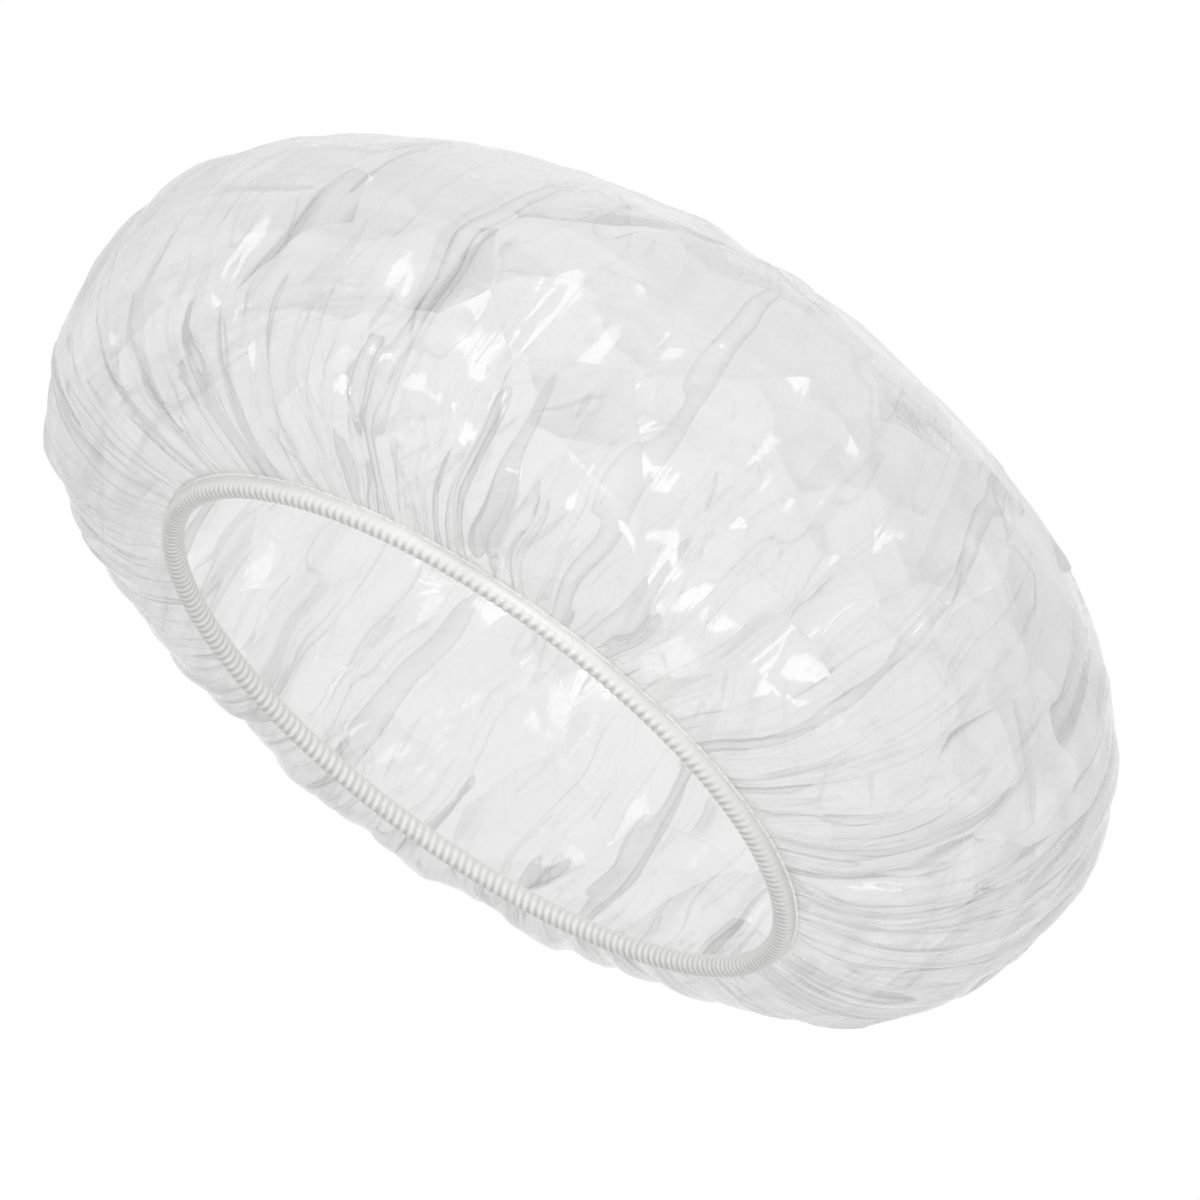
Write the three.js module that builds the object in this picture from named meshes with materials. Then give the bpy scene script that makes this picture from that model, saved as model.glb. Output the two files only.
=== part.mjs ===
// A disposable shower cap of clear film, puffed up and standing on its rim.
// The film is one round cut whose edge is turned over an elastic ring, sealed to itself along a narrow
// lip and drawn up into a round ribbed rim. Millimetres, +Z up through the crown, and the origin is at
// the middle of the opening, on the plane that the rim rests on.
import * as THREE from "three";

// Driving dimensions: the rim
const RIM_DIAMETER = 180; // centre line of the relaxed rim
const RIM_THICKNESS = 5.8; // across the crests of its ribs
const RIB_COUNT = 180; // gathers that stand out as ribs round the rim
const RIB_DEPTH = 0.3; // crest to valley
const REST_FLAT_BELOW_VALLEY = 0.2; // how far the pressed flat under the rim cuts past the valleys

// Driving dimensions: what the rim holds
const ELASTIC_DIAMETER = 2.2;
const SEAL_THICKNESS = 0.6; // the sealed lip, all its layers of film together
const SEAL_LIP = 2; // how far the lip shows past the rim
const SEAL_ANGLE = THREE.MathUtils.degToRad(35); // the lip's rise, outwards and up from the rim's middle
const FIT_GAP = 0.3; // clearance left between neighbouring pieces

// Driving dimensions: the film
const CAP_DIAMETER = 290; // at the widest, outside the pleats
const WIDEST_HEIGHT = 51; // above the rim's centre line
const CROWN_RISE = 77; // from the widest height to the crown
const SHOULDER_FULLNESS = 2.3; // 2 is an elliptic shoulder, and more is a squarer one
const FILM_WALL = 0.8;
const PLEAT_COUNT = 24; // main pleats that run from the rim towards the crown
const PLEAT_DEPTH = 6;

// How finely the round shapes are divided
const STEPS_PER_RIB = 2;
const RIBS_PER_BORE_STEP = 3;
const STEPS_PER_PLEAT = 3;
const SHOULDER_STEPS = 4;
const DOME_STEPS = 4;
const RIM_INNER_ARC_STEPS = 4;
const RIM_OUTER_ARC_STEPS = 2;
const BORE_ARC_STEPS = 6;
const ELASTIC_SIDES = 8;

// Sizes that follow from those above
const RIM_RADIUS = RIM_DIAMETER / 2;
const CREST_RADIUS = RIM_THICKNESS / 2;
const VALLEY_RADIUS = CREST_RADIUS - RIB_DEPTH;
const RIM_HEIGHT = VALLEY_RADIUS - REST_FLAT_BELOW_VALLEY; // the rim's centre line above the rest plane
const ELASTIC_RADIUS = ELASTIC_DIAMETER / 2;
const BORE_RADIUS = ELASTIC_RADIUS + FIT_GAP;
const SLOT_HALF_WIDTH = SEAL_THICKNESS / 2 + FIT_GAP;
const SEAL_START = BORE_RADIUS;
const SEAL_END = CREST_RADIUS + SEAL_LIP;
const FILM_START = SEAL_END + FIT_GAP;
const RIM_STEPS = RIB_COUNT * STEPS_PER_RIB;
const BORE_STEPS = Math.round(RIB_COUNT / RIBS_PER_BORE_STEP);
const FILM_STEPS = PLEAT_COUNT * STEPS_PER_PLEAT;
const FULL_TURN = 2 * Math.PI;

const CLEAR_FILM = new THREE.MeshStandardMaterial({
  color: 0xeff0f0,
  roughness: 0.18,
  metalness: 0,
  transparent: true,
  opacity: 0.35,
  side: THREE.DoubleSide,
});
const SEALED_FILM = new THREE.MeshStandardMaterial({ color: 0xf3f3f2, roughness: 0.3, metalness: 0 });
const GATHERED_FILM = new THREE.MeshStandardMaterial({ color: 0xf1f0ee, roughness: 0.6, metalness: 0 });
const ELASTIC_RUBBER = new THREE.MeshStandardMaterial({ color: 0xebe7da, roughness: 0.8, metalness: 0 });

// A point of the rim's cross-section, as radius and height, from its distance and angle round the rim's
// centre line. Angle 0 points away from the cap's axis, and a quarter turn points up.
function sectionPoint(distance, angle) {
  const radius = RIM_RADIUS + distance * Math.cos(angle);
  const height = RIM_HEIGHT + distance * Math.sin(angle);
  return new THREE.Vector2(radius, height);
}

// Points at equal angles along an arc of the rim's cross-section, both ends included.
function sectionArc(distance, fromAngle, toAngle, steps) {
  const points = [];
  for (let step = 0; step <= steps; step += 1) {
    points.push(sectionPoint(distance, THREE.MathUtils.lerp(fromAngle, toAngle, step / steps)));
  }
  return points;
}

// The same section turned about the cap's axis, as points in space.
function turned(section, angle) {
  return section.map(
    (point) => new THREE.Vector3(point.x * Math.cos(angle), point.x * Math.sin(angle), point.y),
  );
}

// Collects triangles by their corners.
class TriangleSoup {
  constructor() {
    this.coordinates = [];
  }

  triangle(a, b, c) {
    for (const corner of [a, b, c]) {
      this.coordinates.push(corner.x, corner.y, corner.z);
    }
  }

  quad(a, b, c, d) {
    this.triangle(a, b, c);
    this.triangle(a, c, d);
  }

  // The skin between two rows of equal length.
  strip(row, nextRow) {
    for (let i = 0; i + 1 < row.length; i += 1) {
      this.quad(row[i], nextRow[i], nextRow[i + 1], row[i + 1]);
    }
  }

  // The skin between two closed loops with different numbers of points, which start at the same angle
  // and go the same way round.
  zip(loop, otherLoop) {
    let i = 0;
    let j = 0;
    while (i < loop.length || j < otherLoop.length) {
      const here = loop[i % loop.length];
      const there = otherLoop[j % otherLoop.length];
      if ((i + 1) / loop.length <= (j + 1) / otherLoop.length) {
        i += 1;
        this.triangle(here, loop[i % loop.length], there);
      } else {
        j += 1;
        this.triangle(here, otherLoop[j % otherLoop.length], there);
      }
    }
  }

  geometry() {
    const geometry = new THREE.BufferGeometry();
    geometry.setAttribute("position", new THREE.Float32BufferAttribute(this.coordinates, 3));
    geometry.computeVertexNormals();
    return geometry;
  }
}

// A closed ring with the same section all the way round. The section runs anticlockwise.
function plainRing(section, steps) {
  const soup = new TriangleSoup();
  const closed = [...section, section[0]];
  for (let step = 0; step < steps; step += 1) {
    const here = turned(closed, (step / steps) * FULL_TURN);
    const next = turned(closed, ((step + 1) / steps) * FULL_TURN);
    soup.strip(here, next);
  }
  return soup.geometry();
}

// The outside of the rim in section, from one lip of its slot round to the other. It is pressed flat
// where it rests, so the flat's ends are where the circle meets the rest plane.
function rimOutline(outerRadius) {
  const lipAngle = Math.asin(SLOT_HALF_WIDTH / outerRadius);
  const flatHalfAngle = Math.acos(RIM_HEIGHT / outerRadius);
  const down = 1.5 * Math.PI;
  const innerArc = sectionArc(outerRadius, SEAL_ANGLE + lipAngle, down - flatHalfAngle, RIM_INNER_ARC_STEPS);
  const outerArc = sectionArc(
    outerRadius,
    down + flatHalfAngle,
    FULL_TURN + SEAL_ANGLE - lipAngle,
    RIM_OUTER_ARC_STEPS,
  );
  return [...innerArc, ...outerArc];
}

// The hem: film turned over the elastic and drawn up, so that its gathers stand as ribs. Its bore holds
// the elastic, and its slot, all the way round, lets the sealed lip out.
function gatheredHem() {
  const soup = new TriangleSoup();
  const crest = rimOutline(CREST_RADIUS);
  const valley = rimOutline(VALLEY_RADIUS);
  const boreLipAngle = Math.asin(SLOT_HALF_WIDTH / BORE_RADIUS);
  const bore = sectionArc(
    BORE_RADIUS,
    SEAL_ANGLE + boreLipAngle,
    FULL_TURN + SEAL_ANGLE - boreLipAngle,
    BORE_ARC_STEPS,
  );
  const outerRows = [];
  for (let step = 0; step < RIM_STEPS; step += 1) {
    const outline = step % STEPS_PER_RIB === 0 ? crest : valley;
    outerRows.push(turned(outline, (step / RIM_STEPS) * FULL_TURN));
  }
  const boreRows = [];
  for (let step = 0; step < BORE_STEPS; step += 1) {
    boreRows.push(turned(bore, (step / BORE_STEPS) * FULL_TURN));
  }
  outerRows.forEach((row, step) => soup.strip(row, outerRows[(step + 1) % RIM_STEPS]));
  boreRows.forEach((row, step) => soup.strip(boreRows[(step + 1) % BORE_STEPS], row));
  const firstOf = (rows) => rows.map((row) => row[0]);
  const lastOf = (rows) => rows.map((row) => row[row.length - 1]);
  soup.zip(firstOf(boreRows), firstOf(outerRows));
  soup.zip(lastOf(outerRows), lastOf(boreRows));
  return soup.geometry();
}

// The elastic ring that draws the hem up.
function elasticRing() {
  const section = sectionArc(ELASTIC_RADIUS, 0, FULL_TURN, ELASTIC_SIDES);
  section.pop();
  return plainRing(section, BORE_STEPS);
}

// The sealed lip: a narrow sloping band that closes the hem and carries the film.
function sealedLip() {
  const along = (distance) => sectionPoint(distance, SEAL_ANGLE);
  const across = new THREE.Vector2(-Math.sin(SEAL_ANGLE), Math.cos(SEAL_ANGLE));
  const half = SEAL_THICKNESS / 2;
  const section = [
    along(SEAL_START).addScaledVector(across, -half),
    along(SEAL_END).addScaledVector(across, -half),
    along(SEAL_END).addScaledVector(across, half),
    along(SEAL_START).addScaledVector(across, half),
  ];
  return plainRing(section, FILM_STEPS);
}

// The film's profile from the lip to just short of the crown: a full shoulder out to the widest height,
// then a quarter of an ellipse. Each entry has a point, the way out of the cap there, and how far along
// the profile it is, from 0 at the lip to 1 at the crown.
function filmProfile() {
  const start = sectionPoint(FILM_START, SEAL_ANGLE);
  const widestRadius = CAP_DIAMETER / 2;
  const widestZ = RIM_HEIGHT + WIDEST_HEIGHT;
  const power = 2 / SHOULDER_FULLNESS;
  const points = [];
  for (let step = 0; step <= SHOULDER_STEPS; step += 1) {
    const angle = (step / SHOULDER_STEPS) * (Math.PI / 2);
    const outwards = Math.sin(angle) ** power;
    const below = Math.cos(angle) ** power;
    points.push(
      new THREE.Vector2(
        THREE.MathUtils.lerp(start.x, widestRadius, outwards),
        THREE.MathUtils.lerp(widestZ, start.y, below),
      ),
    );
  }
  for (let step = 1; step < DOME_STEPS; step += 1) {
    const angle = (step / DOME_STEPS) * (Math.PI / 2);
    points.push(new THREE.Vector2(widestRadius * Math.cos(angle), widestZ + CROWN_RISE * Math.sin(angle)));
  }
  const crown = new THREE.Vector2(0, widestZ + CROWN_RISE);
  const total = points.length;
  return points.map((point, i) => {
    const before = points[i - 1];
    const after = i + 1 < total ? points[i + 1] : crown;
    const tangent = before
      ? after.clone().sub(before).normalize()
      : new THREE.Vector2(Math.cos(SEAL_ANGLE), Math.sin(SEAL_ANGLE));
    return { point, outward: new THREE.Vector2(tangent.y, -tangent.x), share: i / total };
  });
}

// How far the film is drawn in from its outer shape by the pleats: nothing at the lip and at the crown,
// and most on the shoulder.
function pleatDip(share, step) {
  const depth = PLEAT_DEPTH * Math.sin(Math.PI * Math.sqrt(share));
  const phase = (step / STEPS_PER_PLEAT) * FULL_TURN;
  return (depth * (1 - Math.cos(phase))) / 2;
}

// One row of the film, all the way round, at a given depth under its outside.
function filmRow({ point, outward, share }, depth) {
  const row = [];
  for (let step = 0; step <= FILM_STEPS; step += 1) {
    const inset = depth + pleatDip(share, step);
    const section = point.clone().addScaledVector(outward, -inset);
    const angle = ((step % FILM_STEPS) / FILM_STEPS) * FULL_TURN;
    row.push(...turned([section], angle));
  }
  return row;
}

// The film itself: a thin pleated shell, open at the lip and closed at the crown.
function filmDome() {
  const soup = new TriangleSoup();
  const profile = filmProfile();
  const outer = profile.map((entry) => filmRow(entry, 0));
  const inner = profile.map((entry) => filmRow(entry, FILM_WALL));
  const crownZ = RIM_HEIGHT + WIDEST_HEIGHT + CROWN_RISE;
  const outerCrown = new THREE.Vector3(0, 0, crownZ);
  const innerCrown = new THREE.Vector3(0, 0, crownZ - FILM_WALL);
  const last = profile.length - 1;
  soup.strip(outer[0], inner[0]);
  for (let i = 0; i < last; i += 1) {
    soup.strip(outer[i + 1], outer[i]);
    soup.strip(inner[i], inner[i + 1]);
  }
  for (let step = 0; step < FILM_STEPS; step += 1) {
    soup.triangle(outer[last][step + 1], outerCrown, outer[last][step]);
    soup.triangle(inner[last][step], innerCrown, inner[last][step + 1]);
  }
  return soup.geometry();
}

function piece(name, geometry, material) {
  const mesh = new THREE.Mesh(geometry, material);
  mesh.name = name;
  return mesh;
}

const showerCap = new THREE.Group();
showerCap.name = "shower_cap";
const rim = new THREE.Group();
rim.add(piece("elastic_ring", elasticRing(), ELASTIC_RUBBER));
rim.add(piece("gathered_hem", gatheredHem(), GATHERED_FILM));
rim.add(piece("sealed_lip", sealedLip(), SEALED_FILM));
showerCap.add(rim);
showerCap.add(piece("film_dome", filmDome(), CLEAR_FILM));

export default showerCap;
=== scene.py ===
# %% [markdown]
# # A clear film shower cap
# A disposable shower cap is one round cut of thin polyethylene film. The edge of the cut is turned over a
# ring of rubber and heat sealed, and the ring draws it up into a white ribbed rim. Above the rim the film
# puffs out, with pleats where it is gathered and crumpled facets where it was packed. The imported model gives
# the sizes and the places, so it is loaded first. It leaves its own solids selected, so nothing stays
# selected before the first operator runs.

# %% Load the frame
import math

import bpy
import numpy as np
from mathutils import Matrix, Vector
from mathutils.kdtree import KDTree


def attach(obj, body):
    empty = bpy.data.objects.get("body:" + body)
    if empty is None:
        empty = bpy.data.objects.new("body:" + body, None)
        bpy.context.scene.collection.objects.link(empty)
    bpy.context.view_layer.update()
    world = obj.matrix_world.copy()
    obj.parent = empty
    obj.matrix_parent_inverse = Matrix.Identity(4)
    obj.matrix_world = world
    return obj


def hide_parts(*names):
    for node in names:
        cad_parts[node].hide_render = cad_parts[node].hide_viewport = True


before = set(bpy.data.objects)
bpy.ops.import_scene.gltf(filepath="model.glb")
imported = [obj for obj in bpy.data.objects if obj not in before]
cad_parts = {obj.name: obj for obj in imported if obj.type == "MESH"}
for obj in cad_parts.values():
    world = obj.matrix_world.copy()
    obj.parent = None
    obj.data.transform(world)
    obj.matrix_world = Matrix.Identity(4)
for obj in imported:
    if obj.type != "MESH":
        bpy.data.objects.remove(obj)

MM = 0.001
FULL_TURN = 2 * math.pi

scene = bpy.context.scene
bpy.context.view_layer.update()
bpy.ops.object.select_all(action="DESELECT")
print("frame nodes:", sorted(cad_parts))

# %% [markdown]
# ## The camera
# The photograph looks up into the opening, from a little below the rim, and the cap is turned in the picture.
# The rim is a circle of known size, so its long axis in the picture gives the scale, its short axis the
# height of the eye, and its slant the roll. The camera is built from those numbers and the rim's place in
# the picture, which are measured in pixels of a picture 1200 wide.

# %% Camera
RIM_DIAMETER = 180 * MM
RIM_HEIGHT = 2.4 * MM
PHOTO_SIDE = 1200
RIM_IN_PHOTO = 737.4
RIM_CENTRE_IN_PHOTO = (473.6, 733.35)
EYE_ELEVATION = math.radians(-20.66)
EYE_ROLL = math.radians(36.34)
EYE_DISTANCE = 1.6
SENSOR_WIDTH = 36

metres_per_pixel = RIM_DIAMETER / RIM_IN_PHOTO
to_eye = Vector((0, -math.cos(EYE_ELEVATION), math.sin(EYE_ELEVATION)))
level_right = Vector((1, 0, 0))
level_up = to_eye.cross(level_right)
picture_right = level_right * math.cos(EYE_ROLL) + level_up * math.sin(EYE_ROLL)
picture_up = level_up * math.cos(EYE_ROLL) - level_right * math.sin(EYE_ROLL)
aim = Vector((0, 0, RIM_HEIGHT))
aim += picture_right * (PHOTO_SIDE / 2 - RIM_CENTRE_IN_PHOTO[0]) * metres_per_pixel
aim += picture_up * (RIM_CENTRE_IN_PHOTO[1] - PHOTO_SIDE / 2) * metres_per_pixel

bpy.ops.object.camera_add()
camera = bpy.context.object
camera.name = "photo_camera"
turned = Matrix((picture_right, picture_up, to_eye)).transposed().to_4x4()
camera.matrix_world = Matrix.Translation(aim + to_eye * EYE_DISTANCE) @ turned
camera.data.sensor_width = SENSOR_WIDTH
camera.data.lens = camera.data.sensor_width * EYE_DISTANCE / (PHOTO_SIDE * metres_per_pixel)
scene.camera = camera
print("lens, mm:", round(camera.data.lens, 1))

# %% [markdown]
# ## Colours and nodes
# Colours are written as sRGB hex, the way a colour picker shows them, and shaders want linear light, so one
# function turns one into the other. Another small function adds a node, sets its options, and fills its
# inputs, with a link where it is handed another node's socket. The kinds of node that come back often get
# short names. A Mix node has inputs for each kind of data, so the places of its colour sockets get names too.

# %% Colour and node helpers
MATH = "ShaderNodeMath"
VECTOR_MATH = "ShaderNodeVectorMath"
NOISE = "ShaderNodeTexNoise"
VORONOI = "ShaderNodeTexVoronoi"
MAP_RANGE = "ShaderNodeMapRange"
COMBINE = "ShaderNodeCombineXYZ"
BUMP = "ShaderNodeBump"
MIX = "ShaderNodeMix"
MIX_SHADER = "ShaderNodeMixShader"
TRANSPARENT = "ShaderNodeBsdfTransparent"
PRINCIPLED = "ShaderNodeBsdfPrincipled"
LIGHT_PATH = "ShaderNodeLightPath"
COORDINATES = "ShaderNodeTexCoord"
FIRST_COLOUR = 6
SECOND_COLOUR = 7
MIXED_COLOUR = 2


def linear(hex_colour):
    """An sRGB hex colour as linear red, green, blue and alpha."""
    shares = [int(hex_colour[i : i + 2], 16) / 255 for i in (1, 3, 5)]
    return [s / 12.92 if s <= 0.04045 else ((s + 0.055) / 1.055) ** 2.4 for s in shares] + [1.0]


def add_node(tree, kind, inputs=None, **options):
    """Adds a node to a tree, sets its options, and links or sets its inputs."""
    node = tree.nodes.new(kind)
    for option, value in options.items():
        setattr(node, option, value)
    for name, value in (inputs or {}).items():
        if isinstance(value, bpy.types.NodeSocket):
            tree.links.new(value, node.inputs[name])
        else:
            node.inputs[name].default_value = value
    return node


def new_finish(name):
    """An empty material of that name, with its node tree and its output node."""
    finish = bpy.data.materials.new(name)
    finish.use_nodes = True
    finish.node_tree.nodes.clear()
    return finish, finish.node_tree, add_node(finish.node_tree, "ShaderNodeOutputMaterial")


print("white as linear light:", [round(v, 3) for v in linear("#ffffff")])

# %% [markdown]
# ## The studio
# Clear film shows what is round it, so the studio matters as much as the shader. The background is plain
# white to the eye, in reflections and through the film, while the light that falls on the cap from it is a
# soft grey. A ray may have to cross many folds of film, so more crossings are allowed than usual.

# %% World
ROOM_LIGHT = 0.55
FILM_CROSSINGS = 32

world = bpy.data.worlds.new("white_room")
scene.world = world
world.use_nodes = True
tree = world.node_tree
tree.nodes.clear()
path = add_node(tree, LIGHT_PATH).outputs
seen = path["Is Camera Ray"]
for ray in ("Is Glossy Ray", "Is Transmission Ray"):
    seen = add_node(tree, MATH, {0: seen, 1: path[ray]}, operation="MAXIMUM").outputs[0]
soft = add_node(tree, "ShaderNodeBackground", {"Color": linear("#ffffff"), "Strength": ROOM_LIGHT})
white = add_node(tree, "ShaderNodeBackground", {"Color": linear("#ffffff"), "Strength": 1.0})
shown = add_node(tree, MIX_SHADER, {0: seen, 1: soft.outputs[0], 2: white.outputs[0]})
add_node(tree, "ShaderNodeOutputWorld", {"Surface": shown.outputs[0]})
scene.view_settings.view_transform = "Standard"
scene.cycles.transparent_max_bounces = FILM_CROSSINGS
print("room light:", ROOM_LIGHT)

# %% [markdown]
# Six softboxes light the cap from round about. Most stand above it, where the photograph's glints come from,
# and one stands low, so that the film near the rim is as light as the rest. Each facet of the film that faces
# one of them flashes white. A larger box gives a wider and softer glint, and these sizes give one with an
# edge.

# %% Softboxes
# Each place is in metres to the right, up and towards the eye, as the picture shows it. Then come the side
# in metres and the power in watts.
SOFTBOXES = {
    "key_softbox": ((-0.55, 1.25, 0.75), 0.48, 3.4),
    "front_softbox": ((0.05, 0.55, 1.40), 0.50, 5.5),
    "left_softbox": ((-1.35, 0.35, 0.70), 0.32, 1.5),
    "right_softbox": ((1.25, 0.45, 0.75), 0.36, 2.0),
    "top_softbox": ((0.90, 1.15, 0.40), 0.36, 2.5),
    "low_softbox": ((-0.40, -0.90, 1.10), 0.62, 7.0),
}
CAP_MIDDLE = Vector((0, 0, 55 * MM))

for name, (place, side, watts) in SOFTBOXES.items():
    spot = CAP_MIDDLE + picture_right * place[0] + picture_up * place[1] + to_eye * place[2]
    bpy.ops.object.light_add(type="AREA", location=spot)
    lamp = bpy.context.object
    lamp.name = name
    lamp.rotation_euler = (CAP_MIDDLE - spot).to_track_quat("-Z", "Y").to_euler()
    lamp.data.size = side
    lamp.data.energy = watts
    print(name, "at", [round(v, 2) for v in spot])

# %% [markdown]
# ## The floor
# The cap rests on its rim, and the photograph looks up from below that level, so a plain floor would hide
# the cap. This floor has one side: from above it is pale and takes the cap's shadow, and from below the eye
# passes through it. It stops no light on its way to the cap, because the photograph lights it from below too.

# %% Floor
FLOOR_SIDE = 6.0

bpy.ops.mesh.primitive_plane_add(size=FLOOR_SIDE)
floor = bpy.context.object
floor.name = "floor"
finish, tree, output = new_finish("one_sided_pale_floor")
underside = add_node(tree, "ShaderNodeNewGeometry").outputs["Backfacing"]
paint = add_node(tree, PRINCIPLED, {"Base Color": linear("#f2f2f2"), "Roughness": 0.9})
gone = add_node(tree, TRANSPARENT)
either = add_node(tree, MIX_SHADER, {0: underside, 1: paint.outputs[0], 2: gone.outputs[0]})
tree.links.new(either.outputs[0], output.inputs["Surface"])
floor.data.materials.append(finish)
floor.visible_shadow = False
floor.visible_diffuse = False
floor.visible_glossy = False
print("floor side, m:", FLOOR_SIDE)

# %% [markdown]
# ## The film's outline
# The film leaves the rim along the sealed lip, swells to its widest place, and closes over the crown. That
# outline is two quarter curves: a full one below the widest place and an ellipse above it. It is measured
# from the crown down, because a round cut of film is measured from its middle out.

# %% Outline from crown to lip
SEAL_ANGLE = math.radians(35)
FILM_START = 3.6 * MM
WIDEST_RADIUS = 143.5 * MM
WIDEST_HEIGHT = RIM_HEIGHT + 51 * MM
CROWN_RISE = 74 * MM
SHOULDER_FULLNESS = 2.6
OUTLINE_STEPS = 200

lip_radius = RIM_DIAMETER / 2 + FILM_START * math.cos(SEAL_ANGLE)
lip_height = RIM_HEIGHT + FILM_START * math.sin(SEAL_ANGLE)
quarter = np.linspace(0, math.pi / 2, OUTLINE_STEPS)
crown_radius = WIDEST_RADIUS * np.sin(quarter)
crown_height = WIDEST_HEIGHT + CROWN_RISE * np.cos(quarter)
fuller = 2 / SHOULDER_FULLNESS
shoulder_radius = lip_radius + (WIDEST_RADIUS - lip_radius) * np.cos(quarter[1:]) ** fuller
shoulder_height = WIDEST_HEIGHT + (lip_height - WIDEST_HEIGHT) * np.sin(quarter[1:]) ** fuller
outline_radius = np.concatenate([crown_radius, shoulder_radius])
outline_height = np.concatenate([crown_height, shoulder_height])
outline_steps = np.hypot(np.diff(outline_radius), np.diff(outline_height))
outline_length = np.concatenate([[0], np.cumsum(outline_steps)])
film_reach = outline_length[-1]
print("crown to lip along the film, mm:", round(film_reach / MM, 1))

# %% [markdown]
# ## The cut of film
# A cap like this starts as a flat round cut. A grid of triangles folds in every direction with no favourite,
# so the cut starts as a hexagon of six triangles, subdivided. Each point's ring, from the middle out, and
# its place on the ring then turn the hexagon into a disc.

# %% Hexagon to disc
SIDES = 6
SHEET_CUTS = 77
SECTOR = FULL_TURN / SIDES
TINY = 1e-9


def points_of(piece):
    """A piece's points as rows of x, y and z."""
    places = np.empty(len(piece.data.vertices) * 3)
    piece.data.vertices.foreach_get("co", places)
    return places.reshape(-1, 3)


bpy.ops.object.select_all(action="DESELECT")
bpy.ops.mesh.primitive_circle_add(vertices=SIDES, radius=1, fill_type="TRIFAN")
film = bpy.context.object
film.name = "clear_film"
bpy.ops.object.mode_set(mode="EDIT")
bpy.ops.mesh.select_all(action="SELECT")
bpy.ops.mesh.subdivide(number_cuts=SHEET_CUTS)
bpy.ops.object.mode_set(mode="OBJECT")

grid = points_of(film)
point_count = len(grid)
grid_radius = np.hypot(grid[:, 0], grid[:, 1])
grid_angle = np.arctan2(grid[:, 1], grid[:, 0])
corner = grid_angle[np.argmax(grid_radius)]
turn = (grid_angle - corner) % FULL_TURN
sector = np.floor(turn / SECTOR)
across = turn - sector * SECTOR - SECTOR / 2
ring = np.clip(grid_radius * np.cos(across) / math.cos(SECTOR / 2), 0, 1)
along = 0.5 + grid_radius * np.sin(across) / np.maximum(ring, TINY)
angle = corner + (sector + np.clip(along, 0, 1)) * SECTOR
print("film points:", point_count)

# %% [markdown]
# ## The slack film
# The film is longer round its edge than the rim is, which is why it gathers. So it gets two shapes. The slack
# one comes first: it is as long from crown to edge as the outline, and wider than it towards the edge, with a
# little to spare all round.

# %% Slack shape
EDGE_FULLNESS = 1.40
FULL_FROM = 0.5
FULL_CURVE = 1.5
SPARE_FILM = 1.016
CUT_STEPS = 800

length = ring * film_reach
steps = np.linspace(0, film_reach, CUT_STEPS)
towards_edge = np.clip((steps / film_reach - FULL_FROM) / (1 - FULL_FROM), 0, 1)
fullness = 1 + (EDGE_FULLNESS - 1) * towards_edge**FULL_CURVE
cut_radius = fullness * np.interp(steps, outline_length, outline_radius)
cut_drop = np.sqrt(np.maximum(np.diff(steps) ** 2 - np.diff(cut_radius) ** 2, 0))
cut_height = -np.concatenate([[0], np.cumsum(cut_drop)])
slack_radius = np.interp(length, steps, cut_radius) * SPARE_FILM
slack_x = slack_radius * np.cos(angle)
slack_y = slack_radius * np.sin(angle)
slack_height = np.interp(length, steps, cut_height) + outline_height[0]
print("edge of the slack film, mm:", round(FULL_TURN * slack_radius.max() / MM))

# %% [markdown]
# Pulled onto the cap's outline, the slack film has too much length to lie smooth, and it has to buckle. Small
# waves say where. Most come in packets that run along the radius, each with its own place, width and number
# of folds, so no two stretches of the rim look alike. Weaker waves cross the film in every direction. All of
# them come from one seeded draw, so each run gives the same folds.

# %% Waves in the slack film
FOLD_SEED = 7
FOLD_SIZE = 0.6 * MM
RADIAL_FOLDS = 160
PACKET_HALF_WIDTH = (0.15, 0.5)
PACKET_MIDDLE = (0.45, 1.0)
PACKET_SPREAD = (0.12, 0.35)
FOLDS_ROUND = (18, 60)
FOLDS_VARY = (0.8, 1.2)
FOLD_LEAN = 1.5
FOLDS_GROW = 3
CREASES = 40
CREASE_WAVES = (40, 130)
CREASE_SHARE = 0.2
HELD_FROM = 0.997


def within_half_turn(angles):
    """Angles brought to within half a turn of zero."""
    return (angles + math.pi) % FULL_TURN - math.pi


draw = np.random.default_rng(FOLD_SEED)
folds = np.zeros(point_count)
for _ in range(RADIAL_FOLDS):
    place = draw.uniform(0, FULL_TURN)
    half_width = draw.uniform(*PACKET_HALF_WIDTH)
    middle = draw.uniform(*PACKET_MIDDLE)
    count = round(np.interp(middle, PACKET_MIDDLE, FOLDS_ROUND) * draw.uniform(*FOLDS_VARY))
    spread = draw.uniform(*PACKET_SPREAD)
    lean = draw.normal() * FOLD_LEAN
    off = within_half_turn(angle - place)
    packet = np.exp(-((off / half_width) ** 2) - ((ring - middle) / spread) ** 2)
    folds += np.cos(count * off + lean * ring) * packet
folds *= np.clip(FOLDS_GROW * ring, 0, 1)
for _ in range(CREASES):
    bearing = draw.uniform(0, FULL_TURN)
    waves = draw.uniform(*CREASE_WAVES)
    phase = draw.uniform(0, FULL_TURN)
    across_film = slack_x * math.cos(bearing) + slack_y * math.sin(bearing)
    folds += CREASE_SHARE * np.cos(waves * across_film + phase)
held_edge = ring > HELD_FROM
slack = np.stack([slack_x, slack_y, slack_height + FOLD_SIZE * folds * ~held_edge], 1)
print("waves reach, mm:", round(FOLD_SIZE * np.abs(folds).max() / MM, 2))

# %% [markdown]
# ## The filled film
# The other shape lies on the cap's outline. The photographed cap isn't quite even: the film leans a little
# to one side above the lip, and its shoulder sags on the far left, so the filled shape does both.

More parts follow.
